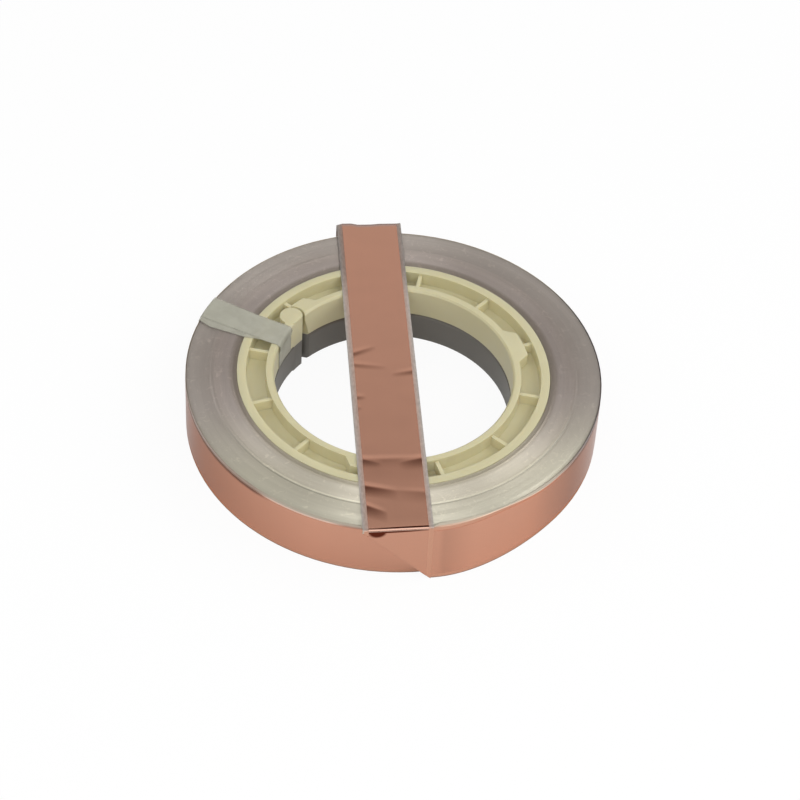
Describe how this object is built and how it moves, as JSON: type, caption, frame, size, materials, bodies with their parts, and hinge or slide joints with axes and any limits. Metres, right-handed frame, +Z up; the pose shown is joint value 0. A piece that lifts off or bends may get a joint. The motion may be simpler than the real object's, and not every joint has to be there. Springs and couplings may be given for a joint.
{
  "type": "roll of flat copper strip",
  "caption": "Roll of film-laminated flat copper strip lying on its end, wound on a split moulded core, with its free end folded up and laid across the top.",
  "frame": {"origin": "on the axis of the core's bore, at the height of the floor that the roll lies on", "axes": "+Z up along the bore's axis, +Y the way the strip's free end runs over the top"},
  "size_m": [0.1324, 0.1407, 0.0221],
  "materials": {
    "strip_turns": "edges of copper foil and clear film wound in turns, satin",
    "copper_laminate": "bright rolled copper foil under clear film",
    "cream_plastic": "cream injection moulding, satin",
    "grey_plastic": "dark grey injection moulding, satin",
    "adhesive_tape": "thin translucent adhesive film tape"
  },
  "bodies": {
    "root": {"wound_strip": "strip_turns", "strip_free_end": "copper_laminate", "core_upper": "cream_plastic", "core_lower": "grey_plastic", "tape_tab": "adhesive_tape"}
  },
  "joints": []
}
